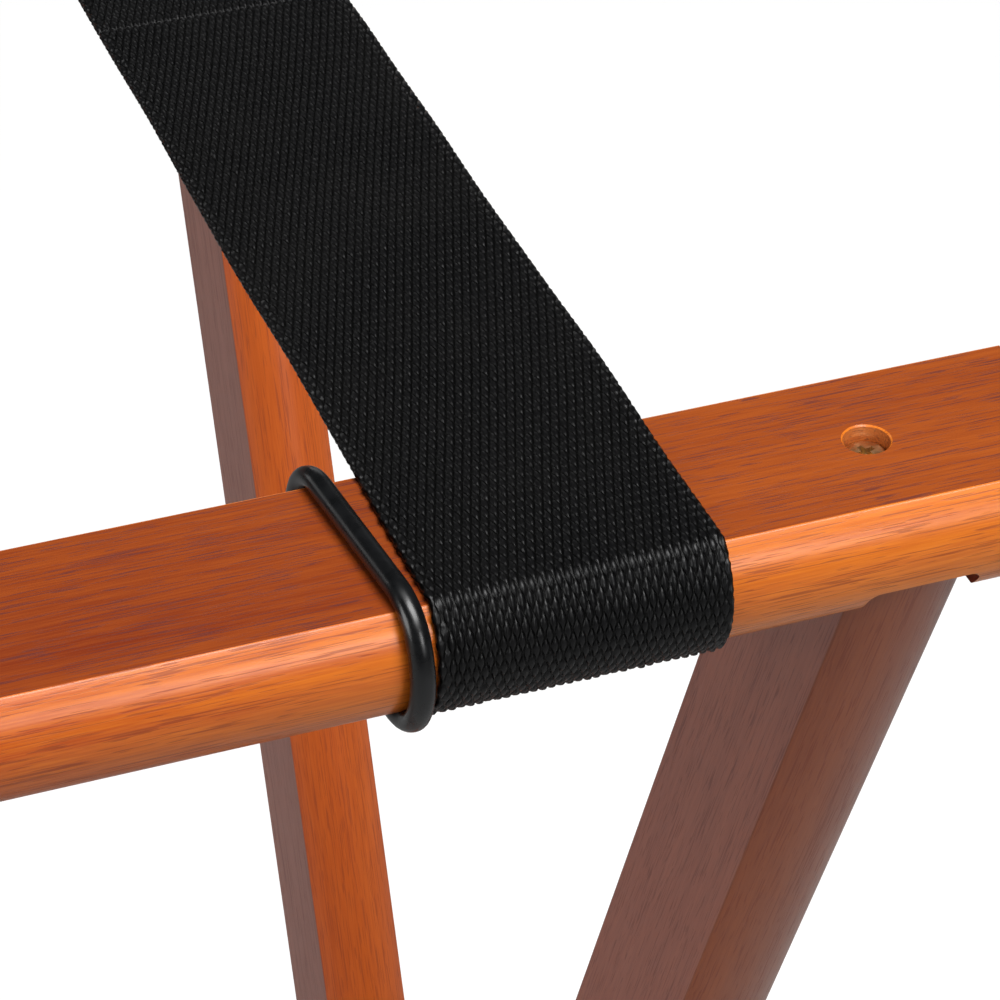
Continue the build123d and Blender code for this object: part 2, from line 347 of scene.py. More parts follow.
def give_surface(tree, shader, colour, roughness, height, strength, depth, constants=None):
    """Gives a shader its colour, its roughness and its fine relief, and its constant sockets."""
    relief = {"Height": height, "Strength": strength, "Distance": depth}
    sockets = {
        "Base Color": colour,
        "Roughness": roughness,
        "Normal": add(tree, "Bump", relief).outputs[0],
    }
    fill(tree, shader, sockets)
    fill(tree, shader, constants or {})


# The grain that all the wooden pieces share: broad figure, streaks, fine threads, and the open
# pores that the dark stain settles in. The grain runs along the group's own X.
grain_group, grain_in, grain_out = new_group(
    "stained_grain",
    {
        "Place": "Vector",
        "Pale": "Color",
        "Deep": "Color",
        "Pore": "Color",
        "Pore share": "Float",
        "Painted light drift": "Float",
    },
    {"Colour": "Color", "Roughness": "Float", "Height": "Float"},
)
grain_place = grain_in.outputs["Place"]
figure = drawn_noise(grain_group, grain_place, (4, 48, 48), 4, 0.5)
streaks = drawn_noise(grain_group, grain_place, (14, 520, 520), 4, 0.2)
threads = drawn_noise(grain_group, grain_place, (90, 2600, 2600), 2)
pore_spots = drawn_noise(grain_group, grain_place, (130, 3600, 3600), 1)
long_pores = drawn_noise(grain_group, grain_place, (50, 3000, 3000), 1, 0.1)

crowding = remap(grain_group, streaks, 0.38, 0.62, -0.03, 0.03)
short_crowd = calculate(grain_group, "ADD", pore_spots, crowding)
long_crowd = calculate(grain_group, "ADD", long_pores, crowding)
short_mask = remap(grain_group, short_crowd, 0.61, 0.66)
long_mask = remap(grain_group, long_crowd, 0.63, 0.67)
pore_mask = calculate(grain_group, "MAXIMUM", short_mask, long_mask)
pore_tint = calculate(grain_group, "MULTIPLY", pore_mask, grain_in.outputs["Pore share"])

figure_tone = calculate(grain_group, "MULTIPLY", remap(grain_group, figure, 0.25, 0.75), 0.52)
streak_tone = calculate(grain_group, "MULTIPLY", remap(grain_group, streaks, 0.28, 0.72), 0.18)
thread_tone = calculate(grain_group, "MULTIPLY", remap(grain_group, threads, 0.3, 0.7), 0.30)
fine_tone = calculate(grain_group, "ADD", streak_tone, thread_tone)
whole_tone = calculate(grain_group, "ADD", figure_tone, fine_tone)
# Painted light: the drift lightens a rail's wood towards its right end, where the lamps fall
# brighter.
tone = calculate(grain_group, "ADD", whole_tone, grain_in.outputs["Painted light drift"])
ground = mix_colour(grain_group, tone, grain_in.outputs["Pale"], grain_in.outputs["Deep"])
stained = mix_colour(grain_group, pore_tint, ground, grain_in.outputs["Pore"])

lacquer = remap(grain_group, tone, 0.0, 1.0, 0.28, 0.33)
pore_matt = calculate(grain_group, "MULTIPLY", pore_mask, 0.10)
gloss = calculate(grain_group, "ADD", lacquer, pore_matt)
thread_rise = calculate(grain_group, "MULTIPLY", threads, 0.25)
pore_drop = calculate(grain_group, "MULTIPLY", pore_tint, 0.8)
depth = calculate(grain_group, "SUBTRACT", thread_rise, pore_drop)
fill(grain_group, grain_out, {"Colour": stained, "Roughness": gloss, "Height": depth})


def wood(name, pale, deep, pore, pore_share, turn=(0, 0, 0), painted_light_rightward=False):
    """Stained and lacquered wood; turn brings the piece's own length to the grain's X.

    One with the flag set is painted lighter towards its right end: a painted light gradient, for the
    lamps falling brighter there."""
    material, tree, shader = new_material(name)
    place = add(tree, "TexCoord").outputs["Object"]
    turned = add(tree, "Mapping", {"Vector": place, "Rotation": turn})
    sockets = {
        "Place": turned.outputs[0],
        "Pale": pale,
        "Deep": deep,
        "Pore": pore,
        "Pore share": pore_share,
    }
    # Painted light: the wood's tone lightens along X, a painted light gradient towards the right end.
    if painted_light_rightward:
        along = add(tree, "SeparateXYZ", {0: place}).outputs[0]
        sockets["Painted light drift"] = remap(tree, along, 0.03, 0.21, 0.25, -0.25)
    grain = add(tree, "Group", sockets, node_tree=grain_group).outputs
    constants = {"Specular IOR Level": 0.36, "Coat Weight": 0.16, "Coat Roughness": 0.2}
    colour, roughness, height = grain["Colour"], grain["Roughness"], grain["Height"]
    give_surface(tree, shader, colour, roughness, height, 0.35, 0.06 * mm, constants)
    return material


# The flat faces take darker, redder colours and the moulded edges brighter, more orange ones: painted
# shade on the tops and painted light on the swells, for how the lamps fall on them.
shaded_face_pale = srgb(160, 77, 26)
shaded_face_deep = srgb(118, 43, 15)
face_pore = srgb(84, 40, 42)
lit_edge_pale = srgb(224, 125, 36)
lit_edge_deep = srgb(172, 71, 16)
edge_pore = srgb(112, 42, 22)
bore_pale = srgb(218, 132, 66)
bore_deep = srgb(156, 74, 34)

end_grain = wood("end_grain", shaded_face_deep, srgb(104, 38, 24), face_pore, 0.5, (0, radians(90), 0))
bored_wood = wood("bored_wood", bore_pale, bore_deep, face_pore, 0.4)
rail_face_shaded = wood("rail_face_shaded", shaded_face_pale, shaded_face_deep, face_pore, 0.66, painted_light_rightward=True)
rail_edge_lit = wood("rail_edge_lit", lit_edge_pale, lit_edge_deep, edge_pore, 0.5, painted_light_rightward=True)
rail_woods = (rail_face_shaded, rail_edge_lit, end_grain, bored_wood)

for name in ("outer", "inner"):
    low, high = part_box(f"{name}_rail")
    middle = (low + high) / 2
    legs_low, legs_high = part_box(f"{name}_leg_right")
    leg_middle_x = (legs_low.x + legs_high.x) / 2
    screw_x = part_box(f"{name}_rail_screws")[1].x - screw_radius
    place = Matrix.Translation(middle)
    blank = bar(rail_flat, rail_thick, rail_bulge, rail_length + spare_length, place)
    outline = bmesh.new()
    add_block(outline, low - Vector((0, 0, mm)), high + Vector((0, 0, mm)), rail_corner)
    blank = cut(blank, as_mesh(outline), "INTERSECT")
    dados = bmesh.new()
    drills = bmesh.new()
    drilled = []
    for hand in (-1, 1):
        at = hand * leg_middle_x
        slot_low = (at - dado_width / 2, low.y - mm, low.z - overrun)
        slot_high = (at + dado_width / 2, high.y + mm, low.z + dado_depth)
        add_block(dados, slot_low, slot_high, dado_corner, 1, True)
        mouth = (hand * screw_x, middle.y, high.z)
        counterbore(drills, mouth, (0, 0, -1), rail_thick + mm)
        drilled.append((mouth, (0, 0, -1), counterbore_radius + bore_margin))
    rail_mesh = cut(cut(blank, as_mesh(dados)), as_mesh(drills))
    bm = bmesh.new()
    bm.from_mesh(rail_mesh)
    ease_ends(bm, Vector((1, 0, 0)), rail_end_ease)
    rail = show(f"rail_{name}", as_mesh(bm), rail_woods)
    sort_grain(rail.data, Vector((1, 0, 0)), Vector((0, 0, 1)), drilled)
    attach(rail, f"{name}_frame")
    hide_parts(f"{name}_rail")


# Legs. The same moulded bar stood on edge, tilted, cut level at the floor and let into the
# rail's dado. Each is bored for the pivot, the stretcher's screw and dowel and the rail's screw.
leg_thick = 19 * mm
leg_flat = 31.5 * mm
leg_bulge = 4 * mm
leg_angle = radians(21.6)
uncut_leg = 1400 * mm
saw_beside = 200 * mm
saw_above = 20 * mm
saw_below = 50 * mm
hair = 0.001 * mm
pivot_bore = 4.05 * mm
pivot_bore_depth = 21 * mm
dowel_bore = 3.05 * mm
dowel_depth = 10 * mm
foot_ease = 0.6 * mm
leans = {"outer": -1, "inner": 1}
# The outer legs' edges are coloured darker and browner than the inner legs' bright orange edges, and
# the faces differ too: painted shade on the edges that face down, painted light on those that face
# up, for how the lamps fall.
leg_colours_lit_and_shaded = {
    "outer": (srgb(174, 88, 50), srgb(144, 66, 38), srgb(154, 80, 40), srgb(128, 60, 30)),
    "inner": (srgb(162, 82, 48), srgb(136, 64, 38), srgb(204, 100, 38), srgb(172, 74, 24)),
}


def middle_of(node):
    """The middle of a CAD node's box, as plain numbers."""
    low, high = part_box(node)
    return [(one + other) / 2 for one, other in zip(low, high)]


def plain_hole(bm, mouth, inward, radius, depth):
    """Adds the drill's path for a straight hole."""
    outline = ((0, -mm), (radius, -mm), (radius, depth), (0, depth))
    add_turned(bm, outline, facing(mouth, inward))


def leg_woods(name, turn):
    """A leg's four materials, with the grain along the leg; its face and edge colours carry painted
    light and shade.
    """
    face_light, face_dark, edge_light, edge_dark = leg_colours_lit_and_shaded[name]
    face = wood(f"{name}_leg_face", face_light, face_dark, face_pore, 0.4, turn)
    edge = wood(f"{name}_leg_edge", edge_light, edge_dark, edge_pore, 0.4, turn)
    return face, edge, end_grain, bored_wood


pivot_z = middle_of("pivot_screws")[2]
for name, lean in leans.items():
    direction = Vector((0, lean * sin(leg_angle), cos(leg_angle)))
    sideways = Vector((1, 0, 0))
    turn = Matrix((direction, sideways.cross(direction), sideways)).transposed().to_4x4()
    woods = leg_woods(name, (lean * leg_angle, radians(90), 0))
    screw_y, screw_z = middle_of(f"{name}_stretcher_screws")[1:]
    dowel_y, dowel_z = middle_of(f"{name}_stretcher_dowels")[1:]
    rail_screw_y = middle_of(f"{name}_rail_screws")[1]
    rail_screws_low, rail_screws_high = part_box(f"{name}_rail_screws")
    for hand_name, hand in (("left", -1), ("right", 1)):
        low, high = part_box(f"{name}_leg_{hand_name}")
        middle_x = (low.x + high.x) / 2
        outward = Vector((hand, 0, 0))
        pivot_at = (middle_x + hand * leg_thick / 2, 0, pivot_z)
        screw_at = (middle_x + hand * leg_thick / 2, screw_y, screw_z)
        dowel_at = (middle_x - hand * leg_thick / 2, dowel_y, dowel_z)
        top_at = (hand * (rail_screws_high.x - screw_radius), rail_screw_y, high.z + mm)
        place = Matrix.Translation((middle_x, 0, pivot_z)) @ turn
        blank = bar(leg_flat, leg_thick, leg_bulge, uncut_leg, place)
        foot_cut = bmesh.new()
        cut_low = low - Vector((mm, saw_beside, 0))
        cut_high = (high.x + mm, high.y + saw_beside, high.z + saw_above)
        add_block(foot_cut, cut_low, cut_high)
        blank = cut(blank, as_mesh(foot_cut), "INTERSECT")
        top_cut = bmesh.new()
        cut_low = (middle_x - leg_thick / 2 - hair, low.y - saw_beside, low.z - saw_below)
        cut_high = (middle_x + leg_thick / 2 + hair, high.y + saw_beside, high.z)
        add_block(top_cut, cut_low, cut_high, dado_corner, 1, True)
        blank = cut(blank, as_mesh(top_cut), "INTERSECT")
        tools = bmesh.new()
        plain_hole(tools, pivot_at, -outward, pivot_bore, pivot_bore_depth)
        counterbore(tools, screw_at, -outward, leg_thick + mm)
        plain_hole(tools, dowel_at, outward, dowel_bore, dowel_depth)
        plain_hole(tools, top_at, (0, 0, -1), pilot_radius, high.z + mm - rail_screws_low.z)
        bm = bmesh.new()
        bm.from_mesh(cut(blank, as_mesh(tools)))
        feet = {face for face in bm.faces if face.normal.z < -0.99 and face.verts[0].co.z < mm}
        rims = [edge for edge in bm.edges if feet.intersection(edge.link_faces)]
        round_edges(bm, rims, foot_ease, 3)
        leg = show(f"leg_{name}_{hand_name}", as_mesh(bm), woods)
        drilled = [
            (screw_at, -outward, counterbore_radius + bore_margin),
            (pivot_at, -outward, pivot_bore + bore_margin),
        ]
        sort_grain(leg.data, Vector((0, 0, 1)), sideways, drilled)
        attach(leg, f"{name}_frame")
        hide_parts(f"{name}_leg_{hand_name}")


# Stretchers. A lighter moulded bar near the floor joins the two legs of each frame. Its ends
# butt against the legs, where a screw and a dowel hold each one and stop it turning.
stretcher_flat = 28 * mm
stretcher_thick = 16 * mm
stretcher_bulge = 3.5 * mm
end_screw_depth = 25 * mm
end_dowel_depth = 14 * mm

for name, lean in leans.items():
    low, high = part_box(f"{name}_stretcher")
    middle = (low + high) / 2
    screw_y, screw_z = middle_of(f"{name}_stretcher_screws")[1:]
    dowel_y, dowel_z = middle_of(f"{name}_stretcher_dowels")[1:]
    tilt = Matrix.Rotation(radians(90) - lean * leg_angle, 4, "X")
    length = high.x - low.x
    place = Matrix.Translation(middle) @ tilt
    blank = bar(stretcher_flat, stretcher_thick, stretcher_bulge, length, place)
    tools = bmesh.new()
    for hand in (-1, 1):
        inward = (-hand, 0, 0)
        end_x = hand * length / 2
        plain_hole(tools, (end_x, screw_y, screw_z), inward, pilot_radius, end_screw_depth)
        plain_hole(tools, (end_x, dowel_y, dowel_z), inward, dowel_bore, end_dowel_depth)
    stretcher = show(f"stretcher_{name}", cut(blank, as_mesh(tools)), rail_woods)
    flat_way = Vector((0, cos(leg_angle), -lean * sin(leg_angle)))
    sort_grain(stretcher.data, Vector((1, 0, 0)), flat_way, [])
    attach(stretcher, f"{name}_frame")
    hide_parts(f"{name}_stretcher")


# Wood screws. Yellow-plated steel pan heads with a cross recess, sunk in the counterbores of
# the rails and the legs. Their shanks are hidden in the wood.
screw_head = 2.6 * mm
screw_lift = 1.1 * mm
screw_crown = 1.17 * mm
screw_shank = 2 * mm
screw_length = 38 * mm
screw_point = 5 * mm
screw_turn = radians(18)
recess_length = 4 * mm
recess_width = 1.1 * mm
recess_depth = 1.4 * mm
recess_floor = 0.55


def screw_outline(radius, head, crown, shank, length, point, collar=0.2 * mm):
    """A pan-head screw's half outline, from its point up to the middle of its head."""
    outline = [(0, -length), (shank * 0.35, -length + point * 0.3), (shank, -length + point)]
    outline += [(shank, 0), (radius, 0), (radius, collar - 0.1 * mm), (radius - 0.15 * mm, collar)]
    outline += [(radius, collar + 0.1 * mm)]
    for step in range(7):
        angle = step / 6 * pi / 2
        outline.append((radius - crown + crown * cos(angle), head - crown + crown * sin(angle)))
    outline.append((0, head + 0.02 * mm))
    return outline


def add_recess_arm(bm, place, head, along):
    """Adds one arm of the cross recess, narrower at its floor."""
    size = (recess_length, recess_width) if along else (recess_width, recess_length)
    low = (-size[0] / 2, -size[1] / 2, head - recess_depth)
    high = (size[0] / 2, size[1] / 2, head + mm)
    known = set(bm.verts)
    add_block(bm, low, high)
    arm = [vert for vert in bm.verts if vert not in known]
    for vert in arm:
        if vert.co.z < head:
            vert.co.x *= recess_floor
            vert.co.y *= recess_floor
    bmesh.ops.transform(bm, matrix=place, verts=arm)


def screws(places, outline, head):
    """The mesh of some like screws, each with its cross recess."""
    bm = bmesh.new()
    for place in places:
        add_turned(bm, outline, place)
    mesh = as_mesh(bm)
    for along in (True, False):
        arms = bmesh.new()
        for place in places:
            add_recess_arm(arms, place, head, along)
        mesh = cut(mesh, as_mesh(arms))
    return mesh


def plated(name, colour, stain, roughness):
    """Plated steel: a little uneven in colour, with fine scuffs in its polish."""
    material, tree, shader = new_material(name)
    place = add(tree, "TexCoord").outputs["Object"]
    cloud = drawn_noise(tree, place, (420, 420, 420), 3)
    scuffs = drawn_noise(tree, place, (5200, 1500, 5200), 2)
    tint = mix_colour(tree, remap(tree, cloud, 0.35, 0.65), colour, stain)
    polish = remap(tree, scuffs, 0.3, 0.75, roughness, roughness + 0.18)
    give_surface(tree, shader, tint, polish, scuffs, 0.2, 0.02 * mm, {"Metallic": 1.0})
    return material


yellow_plate = plated("yellow_plate", srgb(232, 208, 160), srgb(206, 170, 120), 0.28)
raised_head = screw_head + screw_lift
wood_screw = screw_outline(
    screw_radius, raised_head, screw_crown, screw_shank, screw_length, screw_point, screw_lift
)

for name in leans:
    low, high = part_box(f"{name}_rail_screws")
    rail_places = []
    for hand in (-1, 1):
        seat = (hand * (high.x - screw_radius), (low.y + high.y) / 2, high.z - screw_head)
        rail_places.append(facing(seat, (0, 0, 1)) @ Matrix.Rotation(screw_turn, 4, "Z"))
    screw_mesh = screws(rail_places, wood_screw, raised_head)
    in_rail = show(f"screws_in_{name}_rail", screw_mesh, [yellow_plate])
    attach(in_rail, f"{name}_frame")
    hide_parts(f"{name}_rail_screws")

    low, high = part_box(f"{name}_stretcher_screws")
    leg_places = []
    for hand in (-1, 1):
        seat = (hand * (high.x - screw_head), (low.y + high.y) / 2, (low.z + high.z) / 2)
        leg_places.append(facing(seat, (hand, 0, 0)))
    screw_mesh = screws(leg_places, wood_screw, raised_head)
    in_legs = show(f"screws_in_{name}_legs", screw_mesh, [yellow_plate])
    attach(in_legs, f"{name}_frame")
    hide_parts(f"{name}_stretcher_screws")


# Dowels. Plain beech pins glued in the stretchers' ends beside the screws, hidden when
# the joints are closed, so their solids stay as they are.
beech = wood("beech", srgb(222, 184, 138), srgb(196, 152, 106), srgb(150, 110, 76), 0.4)
for name in leans:
    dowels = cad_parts[f"{name}_stretcher_dowels"]
    dowels.data.materials.clear()
    dowels.data.materials.append(beech)


# Pivots. A flanged sleeve nut runs through both legs of a side, a broad-headed screw closes
# it from outside, and a nylon washer keeps the legs apart. The frames turn on the sleeves.
sleeve_radius = 4 * mm
sleeve_length = 36 * mm
flange_radius = 7 * mm
flange_thick = 1.8 * mm
flange_round = 0.6 * mm
bolt_radius = 7 * mm
bolt_head = 2.2 * mm
bolt_crown = 0.99 * mm
bolt_shank = 3 * mm
bolt_length = 15 * mm
bolt_point = 1 * mm
bolt_bore = 3.05 * mm
bolt_bore_depth = 17 * mm
washer_radius = 12 * mm
washer_thick = 1.1 * mm
washer_bore = 4.05 * mm
washer_edge = 0.15 * mm
steel_plate = plated("nickel_plate", srgb(214, 212, 206), srgb(190, 186, 178), 0.22)

sleeve_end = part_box("pivot_sleeves")[1].x
bm = bmesh.new()
for hand in (-1, 1):
    foot = (hand * (sleeve_end - sleeve_length), 0, pivot_z)
    outline = [
        (0, -flange_thick),
        (flange_radius - flange_round, -flange_thick),
        (flange_radius - 0.3 * flange_round, -flange_thick + 0.3 * flange_round),
        (flange_radius, -flange_thick + flange_round),
        (flange_radius, 0),
        (sleeve_radius, 0),
        (sleeve_radius, sleeve_length),
        (bolt_bore, sleeve_length),
        (bolt_bore, sleeve_length - bolt_bore_depth),
        (0, sleeve_length - bolt_bore_depth),
    ]
    add_turned(bm, outline, facing(foot, (hand, 0, 0)))
sleeves = show("pivot_sleeve_nuts", as_mesh(bm), [steel_plate])
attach(sleeves, "outer_frame")
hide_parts("pivot_sleeves")

bolt_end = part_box("pivot_screws")[1].x
bolt_places = []
for hand in (-1, 1):
    bolt_places.append(facing((hand * (bolt_end - bolt_head), 0, pivot_z), (hand, 0, 0)))
bolt = screw_outline(bolt_radius, bolt_head, bolt_crown, bolt_shank, bolt_length, bolt_point)
bolts = show("pivot_bolts", screws(bolt_places, bolt, bolt_head), [steel_plate])
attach(bolts, "outer_frame")
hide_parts("pivot_screws")

nylon, tree, shader = new_material("nylon")
nylon_place = add(tree, "TexCoord").outputs["Object"]
nylon_cloud = drawn_noise(tree, nylon_place, (300, 300, 300), 3)
nylon_tint = mix_colour(tree, nylon_cloud, srgb(232, 228, 214), srgb(214, 208, 190))
nylon_wear = remap(tree, nylon_cloud, 0.3, 0.7, 0.38, 0.52)
fill(tree, shader, {"Base Color": nylon_tint, "Roughness": nylon_wear, "Subsurface Weight": 0.1})

washer_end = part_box("pivot_washers")[1].x
bm = bmesh.new()
for hand in (-1, 1):
    outline = [
        (washer_bore, 0),
        (washer_radius - washer_edge, 0),
        (washer_radius, washer_edge),
        (washer_radius, washer_thick - washer_edge),
        (washer_radius - washer_edge, washer_thick),
        (washer_bore, washer_thick),
        (washer_bore, 0),
    ]
    add_turned(bm, outline, facing((hand * washer_end, 0, pivot_z), (-hand, 0, 0)))
washers = show("pivot_nylon_washers", as_mesh(bm), [nylon])
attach(washers, "outer_frame")
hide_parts("pivot_washers")


# Straps. Heavy black polypropylene webbing, stapled under one rail, brought round its outer
# edge and over the top, across to the other rail and round that. Each is modelled in two
# halves that meet in the middle.
strap_width = 47 * mm
strap_thick = 1.5 * mm
strap_gap = 0.05 * mm
strap_end_reach = 9 * mm
float_length = 4.0 * mm
edge_float = 1.9 * mm
yarns = 60
edge_yarns = 2
all_yarns = yarns + 2 * edge_yarns
edge_yarn = 0.85 * mm
yarn_width = (strap_width - 2 * edge_yarns * edge_yarn) / yarns
relief_top = 0.44 * mm
relief_under = 0.22 * mm
pinch = 0.9
slant = 0.10
yarn_loft = 0.14
yarn_sway = 0.05 * mm
scallop_depth = 0.24 * mm
side_squash = 0.55
free_run = 20 * mm
seam_run = 12 * mm
rows_per_float = 5
weave_seed = 11
most_floats = 300
uv_floats = 100
rail_heart, arris_y, arris_z, rail_half_swell = swell_shape(rail_flat, rail_thick, rail_bulge)
strap_stand = strap_gap + strap_thick / 2
swell_radius = (rail_thick**2 / 4 + rail_bulge**2) / (2 * rail_bulge)
rail_middle_y = (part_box("inner_rail")[0].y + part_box("inner_rail")[1].y) / 2
rail_middle_z = (rail_low.z + rail_high.z) / 2
corner_turn = pi / 2 - rail_half_swell
under_run = strap_end_reach + arris_y
corner_run = (arris + strap_stand) * corner_turn
swell_run = (swell_radius + strap_stand) * 2 * rail_half_swell
top_run = arris_y + rail_middle_y
half_length = under_run + 2 * corner_run + swell_run + top_run


def strap_line(run):
    """Where the webbing's middle lies after each run of its length from the stapled end.

    Gives arrays of the distance outward from the rail's middle, the height over it, and the
    angle of the outward normal above level, all seen along the rail."""
    out = np.empty_like(run)
    up = np.empty_like(run)
    angle = np.empty_like(run)
    stages = (
        (under_run, None, None, None),
        (corner_run, (arris_y, -arris_z), -pi / 2, arris + strap_stand),
        (swell_run, (rail_heart, 0.0), -rail_half_swell, swell_radius + strap_stand),
        (corner_run, (arris_y, arris_z), rail_half_swell, arris + strap_stand),
        (top_run * 2, None, None, None),
    )
    start = 0.0
    for number, (length, centre, first, radius) in enumerate(stages):
        here = (run >= start - 1e-9) & (run <= start + length + 1e-9)
        done = run[here] - start
        if number == 0:
            out[here] = done - strap_end_reach
            up[here] = -rail_thick / 2 - strap_stand
            angle[here] = -pi / 2
        elif number == 4:
            out[here] = arris_y - done
            up[here] = rail_thick / 2 + strap_stand
            angle[here] = pi / 2
        else:
            turned = first + done / radius
            out[here] = centre[0] + radius * np.cos(turned)
            up[here] = centre[1] + radius * np.sin(turned)
            angle[here] = turned
        start += length
    return out, up, angle


def around_strap():
    """Once round the webbing's section: place across, side, which yarn, and place in the yarn."""
    widths = [edge_yarn] * edge_yarns + [yarn_width] * yarns + [edge_yarn] * edge_yarns
    starts = np.cumsum([0.0] + widths) - strap_width / 2
    stations = []
    for yarn, width in enumerate(widths):
        cuts = 2 if width == edge_yarn else 4
        for part in range(cuts):
            stations.append((starts[yarn] + width * part / cuts, 1.0, yarn, part / cuts))
    last = len(widths) - 1
    stations.append((strap_width / 2, 0.75, last, 1.0))
    stations.append((strap_width / 2, 0.25, last, 1.0))
    stations.append((strap_width / 2, -0.25, last, 1.0))
    for yarn in range(last, -1, -1):
        stations.append((starts[yarn] + widths[yarn] / 2, -1.0, yarn, 0.5))
    stations.append((-strap_width / 2, -0.75, 0, 0.0))
    stations.append((-strap_width / 2, -0.25, 0, 0.0))
    stations.append((-strap_width / 2, 0.25, 0, 0.0))
    return np.array(stations)


def woven_half(outer_sign, seed):
    """Half a strap at x = 0: a grid rolled into a flat tube along the strap's line, each warp
    yarn raised where it floats over the weft and pinched where it dives under."""
    stations = around_strap()
    around = len(stations)
    rows = round(half_length / float_length * rows_per_float)
    bm = bmesh.new()
    bm.loops.layers.uv.new("weave")
    bmesh.ops.create_grid(bm, x_segments=around, y_segments=rows, size=0.5, calc_uvs=True)
    mesh = bpy.data.meshes.new("woven")
    bm.to_mesh(mesh)
    bm.free()
    flat = np.empty(len(mesh.vertices) * 3)
    mesh.vertices.foreach_get("co", flat)
    flat = flat.reshape(-1, 3)
    station = np.rint((flat[:, 0] + 0.5) * around).astype(int) % around
    run = (flat[:, 1] + 0.5) * half_length
    across, side, yarn, part = stations[station].T
    yarn = yarn.astype(int)
    edge = (yarn < edge_yarns) | (yarn >= yarns + edge_yarns)
    width = np.where(edge, edge_yarn, yarn_width)
    from_middle = half_length - run
    beat_even = from_middle / float_length
    beat = beat_even + 0.5 * (yarn % 2)
    phase = beat % 1.0
    chance = np.random.default_rng(seed)
    loft = chance.normal(0.0, 1.0, (all_yarns, most_floats))
    sway = chance.normal(0.0, 1.0, (all_yarns, most_floats))
    number = np.clip(np.floor(beat).astype(int), 0, most_floats - 1)
    crown = np.sin(pi * phase) ** 0.75
    hump = np.sin(pi * part) ** 0.7
    swelling = -np.cos(2 * pi * phase)
    shift = width / 2 * pinch * swelling * (2 * part - 1)
    shift += slant * width * np.sin(2 * pi * phase) * hump
    shift += yarn_sway * sway[yarn, number] * hump * crown
    top = side > 0.9
    under = side < -0.9
    height = side * strap_thick / 2
    raised = relief_top * (hump * crown * (1 + yarn_loft * loft[yarn, number]) - 1)
    sunk = relief_under * (1 - hump * crown)
    height = np.where(top, strap_thick / 2 + raised, height)
    height = np.where(under, -strap_thick / 2 + sunk, height)
    rim = ~(top | under)
    scallop = scallop_depth * (np.abs(np.sin(pi * from_middle / edge_float)) ** 0.8)
    scallop -= scallop_depth / 2
    shift = np.where(rim, np.sign(across) * scallop, shift)
    height = np.where(rim, height * side_squash, height)
    out, up, angle = strap_line(run)
    free = np.clip((out < arris_y) * (arris_y - out) / free_run, 0, 1) * (up > 0)
    free = free * np.clip(from_middle / seam_run, 0, 1)
    ripple = 0.16 * mm * np.sin(from_middle / (11 * mm) + across / (9 * mm))
    ripple += 0.10 * mm * np.sin(from_middle / (6.3 * mm) - across / (14 * mm) + 1.3)
    drift = 0.18 * mm * np.sin(from_middle / (17 * mm) + 0.4)
    up_moved = up + height * np.sin(angle) + free * ripple
    out_moved = out + height * np.cos(angle)
    far_side = np.where(across > 0, float(all_yarns), 0.0)
    count = np.where(under | top, yarn + part, far_side)
    weave = np.stack([count / all_yarns, beat_even / uv_floats], axis=1)
    corners = np.empty(len(mesh.loops), dtype=np.int32)
    mesh.loops.foreach_get("vertex_index", corners)
    mesh.uv_layers["weave"].data.foreach_set("uv", weave[corners].ravel())
    placed = np.stack(
        [
            across + shift + free * drift,
            outer_sign * (rail_middle_y + out_moved),
            rail_middle_z + up_moved,
        ],
        axis=1,
    )
    mesh.vertices.foreach_set("co", placed.ravel())
    bm = bmesh.new()
    bm.from_mesh(mesh)
    bpy.data.meshes.remove(mesh)
    bmesh.ops.remove_doubles(bm, verts=bm.verts[:], dist=weld)
    open_edges = [edge for edge in bm.edges if edge.is_boundary]
    bmesh.ops.holes_fill(bm, edges=open_edges, sides=0)
    return as_mesh(bm)


webbing, tree, shader = new_material("black_webbing")
weave_uv = add(tree, "UVMap", uv_map="weave").outputs[0]
counts = {0: weave_uv, 1: (all_yarns, uv_floats, 0)}
lattice = add(tree, "VectorMath", counts, operation="MULTIPLY").outputs[0]
yarns_and_floats = add(tree, "SeparateXYZ", {0: lattice}).outputs
yarn_number = add(tree, "Math", {0: yarns_and_floats[0]}, operation="FLOOR").outputs[0]
in_yarn = calculate(tree, "SUBTRACT", yarns_and_floats[0], yarn_number)
odd = calculate(tree, "MULTIPLY", calculate(tree, "MODULO", yarn_number, 2.0), 0.5)
beats = calculate(tree, "ADD", yarns_and_floats[1], odd)
in_float = add(tree, "Math", {0: beats}, operation="FRACT").outputs[0]
from_side = calculate(tree, "PINGPONG", in_yarn, 0.5)
from_end = calculate(tree, "PINGPONG", in_float, 0.5)
clear_of_side = remap(tree, from_side, 0.0, 0.2)
clear_of_end = remap(tree, from_end, 0.08, 0.34)
raised = calculate(tree, "MULTIPLY", clear_of_side, clear_of_end)
along_fibres = {0: lattice, 1: (7.0, 0.9, 0)}
fibre_place = add(tree, "VectorMath", along_fibres, operation="MULTIPLY").outputs[0]
filaments = drawn_noise(tree, fibre_place, (1, 1, 1), 2)
webbing_place = add(tree, "TexCoord").outputs["Object"]
fading = drawn_noise(tree, webbing_place, (30, 30, 30), 3)
lint = drawn_noise(tree, webbing_place, (2600, 2600, 2600), 1)
faded = remap(tree, fading, 0.35, 0.7, 0.0, 0.2)
dusty = remap(tree, lint, 0.80, 0.86, 0.0, 0.6)
